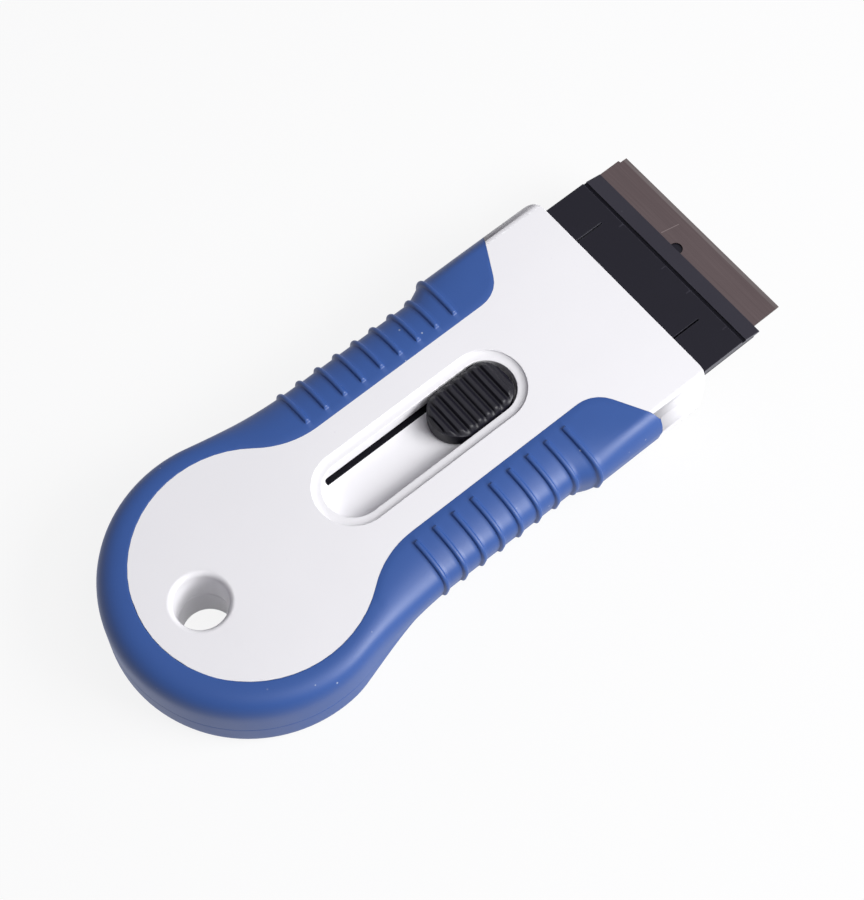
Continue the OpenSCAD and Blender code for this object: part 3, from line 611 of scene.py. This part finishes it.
scratch_x0 = cover_high.x + 0.4
scratch_x1 = blade_high.x - 2.1
scratch_y = 4.84
scratch_slant = -0.2
blade_steel = steel(
    "ground carbon steel", dark=(0.1, 0.076, 0.08, 1), light=(0.121, 0.093, 0.097, 1),
    rough=(0.3, 0.42), across=9000, strength=0.15,
    scratch={"From_X": scratch_x0 * MM, "To_X": scratch_x1 * MM, "At_Y": scratch_y * MM,
             "Slant": scratch_slant})
ground_steel = steel(
    "bright ground edge", dark=(0.13, 0.107, 0.11, 1), light=(0.18, 0.155, 0.157, 1),
    rough=(0.28, 0.4), across=9000, strength=0.15)
zinc_steel = steel(
    "bright zinc", dark=(0.5, 0.5, 0.52, 1), light=(0.66, 0.66, 0.68, 1),
    rough=(0.25, 0.4), across=4000, strength=0.2)
spring_steel = steel(
    "spring steel", dark=(0.36, 0.36, 0.38, 1), light=(0.5, 0.5, 0.52, 1),
    rough=(0.25, 0.38), across=6000, strength=0.2)

# Soft grips
piece("upper_grip_skin", loft(upper_section), "handle", [blue_rubber], "upper_grip")
piece("lower_grip_skin", loft(lower_section), "handle", [blue_rubber], "lower_grip")


def shell_edge(e):
    """Edges of the white shell that show free of the grips: the slot, the nose and the mouth."""
    a, b = e.verts[0].co, e.verts[1].co
    at_slot = min(a.z, b.z) > top_z - slot_rim_d and max(abs(a.y), abs(b.y)) < slot_y + slot_rim_w
    at_front = min(a.x, b.x) > nose_x - hair
    return at_slot or at_front


def hole_seam(e):
    """Edges of the hanging hole's wall at the parting plane."""
    return all(abs(v.co.z - split_z) < hair and v.co.xy.length < hole_r + 10 * hair for v in e.verts)


shell = merged_copy("upper_shell")
# The floor's edge at the near slit lies in the wall's shadow
for v in shell.verts:
    if abs(v.co.y + slit_y0) < 2 * hair and v.co.z < slot_floor_z + 10 * hair:
        v.co.y -= slit_cover
soften(shell, hole_seam_r, 2, hole_seam)
soften(shell, shell_edge_r, 2, shell_edge)
piece("white_upper_shell", shell, "handle", [white_plastic], "upper_shell", from_cad=True)


def base_edge(e):
    """Edges of the lower shell at the mouth and on the underside."""
    a, b = e.verts[0].co, e.verts[1].co
    at_front = min(a.x, b.x) > nose_x - hair
    return at_front or max(a.z - underside(a.x), b.z - underside(b.x)) < 2 * hair


base = merged_copy("lower_shell")
soften(base, hole_seam_r, 2, hole_seam)
soften(base, shell_edge_r, 2, base_edge)
piece("white_lower_shell", base, "handle", [white_plastic], "lower_shell", from_cad=True)


# Thumb button
button_l = button_high.x - button_low.x
button_y = 5.05
button_d = 3.5
button_foot_z = button_high.z - button_d
button_rear_l = 0.6
button_nose_l = 1.2
button_rear_share = 0.75
button_nose_share = 0.5
button_rear_z = button_foot_z + button_rear_share * button_d
button_nose_z = button_foot_z + button_nose_share * button_d
button_side_r = 1.2
button_rim_h = 0.3
button_slack = 0.02
crowd_share = 0.35
ridge_count = 8
ridge_d = 0.6
ridge_fade = 1.1
ridge_rise_share = 0.22
ridge_fall_share = 0.45
leg_l = 8.0
leg_t = 0.6
leg_root = 0.4
leg_edge_r = 0.12


def button_profile(x):
    """Height of the thumb button along its middle: a rear slope, rounded saw ridges and a front slope."""
    along = x - button_low.x
    ridges_l = button_l - button_rear_l - button_nose_l
    if along < button_rear_l:
        return button_rear_z + (button_high.z - button_rear_z) * smooth(along / button_rear_l) ** 0.7
    if along > button_rear_l + ridges_l:
        t = (along - button_rear_l - ridges_l) / button_nose_l
        return button_high.z - ridge_d - (button_high.z - ridge_d - button_nose_z) * t ** 1.5
    u = (along - button_rear_l) / ridges_l * ridge_count % 1
    ridge = smooth(u / ridge_rise_share) * (1 - smooth(u / ridge_fall_share - 1))
    return button_high.z - ridge_d * (1 - ridge)


def button_half_width(x):
    reach = min(x - button_low.x, button_high.x - x)
    return button_y if reach >= button_y else math.sqrt(max(0.0, button_y ** 2 - (button_y - reach) ** 2))


def make_button():
    """A sheet of ridges laid over the button's plan, with its rim drawn down and two legs below."""
    bm = bmesh.new()
    bmesh.ops.create_grid(bm, x_segments=150, y_segments=44, size=1.0)
    middle = (button_low.x + button_high.x) / 2
    half = button_l / 2 - button_slack
    for v in bm.verts:
        x = middle + half * (crowd_share * math.sin(v.co.x * math.pi / 2) + (1 - crowd_share) * v.co.x)
        y = button_half_width(x) * math.sin(v.co.y * math.pi / 2)
        over = max(0.0, abs(y) - button_y + button_side_r)
        drop = button_side_r - math.sqrt(button_side_r ** 2 - over ** 2)
        ridge = max(0.0, button_profile(x) - button_high.z + ridge_d)
        flat = ridge * (1 - smooth((button_half_width(x) - abs(y)) / ridge_fade))
        v.co = (x, y, max(button_foot_z + button_rim_h, button_profile(x) - flat - drop))
    rim = [e for e in bm.edges if e.is_boundary]
    grown = bmesh.ops.extrude_edge_only(bm, edges=rim)["geom"]
    for v in grown:
        if isinstance(v, bmesh.types.BMVert):
            v.co.z = button_foot_z
    bmesh.ops.holes_fill(bm, edges=[e for e in bm.edges if e.is_boundary], sides=0)
    root_z = button_foot_z + leg_root
    for side in (-1, 1):
        leg = bmesh.ops.create_cube(bm, size=1.0)["verts"]
        place = (middle, side * (button_y - leg_t / 2), (root_z + button_low.z) / 2)
        bmesh.ops.scale(bm, vec=(leg_l, leg_t, root_z - button_low.z), verts=leg)
        bmesh.ops.translate(bm, vec=place, verts=leg)
        edges = {e for v in leg for e in v.link_edges}
        bmesh.ops.bevel(bm, geom=list(edges), offset=leg_edge_r, segments=2, profile=0.5, affect="EDGES",
                        material=-1)
    return bm


piece("ridged_thumb_button", make_button(), "carriage", [black_button], "thumb_button")

# Blade carriage and cover
carriage_edge_r = 0.1
cover_edge_r = 0.07
groove_x = cover_high.x - 4.15
groove_w = 0.75
groove_edge = 0.05
groove_d = 0.1
slit_y = 12.55
slit_half_w = 0.16
slit_x1 = cover_high.x - 7.0
cover_side_y = 20.0
tick_l = 0.9
tick_w = 0.16
tick_h = 0.05
tick_gap = 0.15
tick_shares = (0.26, 0.527, 0.68, 0.903)
cover_finishes = [black_holder, painted_light_black, painted_shade_black, painted_sheen_black]


def cover_finish(face):
    """The groove gets painted shade, the left slit and the sides get painted light, and the bevelled lip a
    painted sheen.
    """
    middle = face.calc_center_median()
    if groove_edge < middle.x - groove_x < groove_w - groove_edge and middle.z < cover_high.z - groove_d:
        return painted_shade_black
    if abs(middle.y - slit_y) < slit_half_w and middle.x < slit_x1 + hair:
        return painted_light_black
    if abs(face.normal.y) > 0.9 and abs(middle.y) > cover_side_y:
        return painted_light_black
    return painted_sheen_black if face.normal.x > 0.1 and face.normal.z > 0.9 else black_holder


carriage = merged_copy("blade_carriage")
soften(carriage, carriage_edge_r, 2, lambda e: True)
piece("black_blade_carriage", carriage, "carriage", [black_holder], "blade_carriage", from_cad=True)

cover = merged_copy("blade_cover")
soften(cover, cover_edge_r, 2, lambda e: True)
for face in cover.faces:
    face.material_index = cover_finishes.index(cover_finish(face))
for share in tick_shares:
    tick = bmesh.ops.create_cube(cover, size=1.0)["verts"]
    y = cover_high.y + (cover_low.y - cover_high.y) * share
    place = (groove_x - tick_gap - tick_l / 2, y, cover_high.z - tick_h / 2)
    bmesh.ops.scale(cover, vec=(tick_l, tick_w, 2 * tick_h), verts=tick)
    bmesh.ops.translate(cover, vec=place, verts=tick)
    # The ticks take the black with the painted sheen
    for face in {f for v in tick for f in v.link_faces}:
        face.material_index = cover_finishes.index(painted_sheen_black)
piece("black_blade_cover", cover, "cover", cover_finishes, "blade_cover", from_cad=True)

# The blade's left front corner steps in, and its ground edges are brighter
step_l = 1.5
step_in = 0.45
step_half = 0.04
grind = 0.85
blade = merged_copy("razor_blade")
for x in (blade_high.x - step_l - step_half, blade_high.x - step_l + step_half):
    bmesh.ops.bisect_plane(blade, geom=blade.verts[:] + blade.edges[:] + blade.faces[:], dist=0.001,
                           plane_co=(x, 0, 0), plane_no=(1, 0, 0))
for v in blade.verts:
    if v.co.y > blade_high.y - hair and v.co.x > blade_high.x - step_l:
        v.co.y -= step_in
for face in blade.faces:
    middle = face.calc_center_median().x
    face.material_index = int(middle > blade_high.x - grind or middle < blade_low.x + grind)
piece("razor_blade_plate", blade, "carriage", [blade_steel, ground_steel], "razor_blade",
      from_cad=True, sharp=3)

for node, metal in (("shell_screws", zinc_steel), ("latch_spring", spring_steel)):
    nodes[node].data.materials.clear()
    nodes[node].data.materials.append(metal)

# Stage: pale floor, soft light from the right and above, and the photo's camera; its lengths are in metres
floor_half = 3.0
floor_glow_share = 0.88
aim_at = (0.045, 0, 0.01)


def make_floor():
    """A wide floor that shows nearly white and keeps the part's shadow."""
    bm = bmesh.new()
    bmesh.ops.create_grid(bm, x_segments=2, y_segments=2, size=floor_half)
    mesh = bpy.data.meshes.new("floor")
    bm.to_mesh(mesh)
    bm.free()
    floor = bpy.data.objects.new("floor", mesh)
    bpy.context.scene.collection.objects.link(floor)
    material, tree, skin = new_finish("pale floor", Base_Color=(0.76, 0.76, 0.78, 1), Roughness=0.9,
                                      Specular_IOR_Level=0.0)
    seen = seen_directly(tree)
    glow = add(tree, "ShaderNodeEmission", {"Color": (1, 1, 1, 1), "Strength": 1.0})
    both = tree.nodes.new("ShaderNodeMixShader")
    tree.links.new(math_node(tree, "MULTIPLY", seen, floor_glow_share), both.inputs[0])
    tree.links.new(skin.outputs[0], both.inputs[1])
    tree.links.new(glow.outputs[0], both.inputs[2])
    tree.links.new(both.outputs[0], tree.nodes["Material Output"].inputs["Surface"])
    mesh.materials.append(material)


def make_world(level):
    """White where it is seen, and a faint cool light of the given level elsewhere."""
    world = bpy.data.worlds.new("studio")
    bpy.context.scene.world = world
    world.use_nodes = True
    tree = world.node_tree
    back = tree.nodes["Background"]
    seen = seen_directly(tree)
    tree.links.new(mix_colour(tree, seen, (0.88, 0.82, 1, 1), (1, 1, 1, 1)), back.inputs["Color"])
    tree.links.new(ramp(tree, seen, 0, 1, level, 1.0), back.inputs["Strength"])


def soft_box(name, place, aim, size, power):
    lamp = bpy.data.lights.new(name, "AREA")
    lamp.shape = "RECTANGLE"
    lamp.size, lamp.size_y = size
    lamp.energy = power
    obj = bpy.data.objects.new(name, lamp)
    obj.location = place
    obj.rotation_euler = (Vector(aim) - Vector(place)).to_track_quat("-Z", "Y").to_euler()
    bpy.context.scene.collection.objects.link(obj)


def make_camera():
    """The camera that the fit to the photo gave: place, aim, tilt and lens."""
    place = Vector((-52.5, -118.9, 342.1)) * MM
    aim = Vector((45.9, -3.2, 15.5)) * MM
    tilt = math.radians(0.52)
    data = bpy.data.cameras.new("photo camera")
    data.lens = 86.6
    data.sensor_width = 36
    data.clip_end = 10
    obj = bpy.data.objects.new("photo camera", data)
    turn = (aim - place).to_track_quat("-Z", "Y").to_matrix().to_4x4() @ Matrix.Rotation(tilt, 4, "Z")
    obj.matrix_world = Matrix.Translation(place) @ turn
    bpy.context.scene.collection.objects.link(obj)
    bpy.context.scene.camera = obj


make_floor()
make_world(level=0.1)
soft_box("key softbox", place=(0.4, -0.46, 0.42), aim=aim_at, size=(0.44, 0.36), power=6.3)
soft_box("fill softbox", place=(0.2, -0.3, 0.8), aim=aim_at, size=(0.4, 0.4), power=2.1)
make_camera()
bpy.context.scene.view_settings.view_transform = "Standard"
